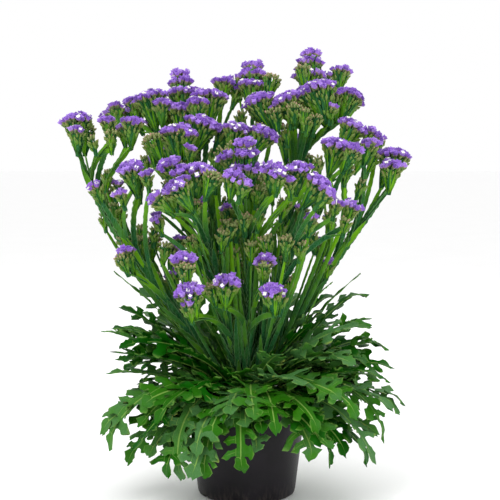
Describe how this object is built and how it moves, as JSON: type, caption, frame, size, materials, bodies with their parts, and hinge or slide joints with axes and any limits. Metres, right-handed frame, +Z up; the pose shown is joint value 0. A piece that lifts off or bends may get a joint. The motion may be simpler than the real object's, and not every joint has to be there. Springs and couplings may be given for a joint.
{
  "type": "potted statice plant",
  "caption": "Violet statice in flower in a black nursery pot: lobed basal leaves, winged forking stems and one-sided crests of funnel florets.",
  "frame": {"origin": "centre of the underside of the pot's base", "axes": "+Z up the plant, -Y towards the picture's camera, +X to the picture's right"},
  "size_m": [0.5222, 0.4059, 0.6678],
  "materials": {
    "pot_plastic": "black nursery plastic, satin, with pale scuffs on the rim",
    "peat": "damp brown peat with orange-brown fibres",
    "leaf_green": "soft matt green leaf with paler midrib",
    "stem_green": "matt green stem with thin wavy wings",
    "calyx_violet": "dry papery violet calyx"
  },
  "bodies": {
    "root": {"pot": "pot_plastic", "soil": "peat", "rosette": "leaf_green", "stem_left_front": "stem_green", "stem_left": "stem_green", "stem_back_left": "stem_green", "stem_centre_left": "stem_green", "stem_front_left": "stem_green", "stem_front": "stem_green", "stem_back": "stem_green", "stem_right_back": "stem_green", "stem_right": "stem_green", "stem_right_front": "stem_green", "crest_left_front_1": "calyx_violet", "crest_left_front_2": "calyx_violet", "crest_left_front_3": "calyx_violet", "crest_left_1": "calyx_violet", "crest_left_2": "calyx_violet", "crest_left_3": "calyx_violet", "crest_left_4": "calyx_violet", "crest_back_left_1": "calyx_violet", "crest_back_left_2": "calyx_violet", "crest_back_left_3": "calyx_violet", "crest_back_left_4": "calyx_violet", "crest_back_left_5": "calyx_violet", "crest_centre_left_1": "calyx_violet", "crest_centre_left_2": "calyx_violet", "crest_centre_left_3": "calyx_violet", "crest_centre_left_4": "calyx_violet", "crest_centre_left_5": "calyx_violet", "crest_front_left_1": "calyx_violet", "crest_front_left_2": "calyx_violet", "crest_front_left_3": "calyx_violet", "crest_front_left_4": "calyx_violet", "crest_front_left_5": "calyx_violet", "crest_front_1": "calyx_violet", "crest_front_2": "calyx_violet", "crest_front_3": "calyx_violet", "crest_front_4": "calyx_violet", "crest_front_5": "calyx_violet", "crest_front_6": "calyx_violet", "crest_front_7": "calyx_violet", "crest_front_8": "calyx_violet", "crest_back_1": "calyx_violet", "crest_back_2": "calyx_violet", "crest_back_3": "calyx_violet", "crest_back_4": "calyx_violet", "crest_back_5": "calyx_violet", "crest_right_back_1": "calyx_violet", "crest_right_back_2": "calyx_violet", "crest_right_back_3": "calyx_violet", "crest_right_back_4": "calyx_violet", "crest_right_back_5": "calyx_violet", "crest_right_back_6": "calyx_violet", "crest_right_1": "calyx_violet", "crest_right_2": "calyx_violet", "crest_right_3": "calyx_violet", "crest_right_4": "calyx_violet", "crest_right_front_1": "calyx_violet", "crest_right_front_2": "calyx_violet"}
  },
  "joints": []
}
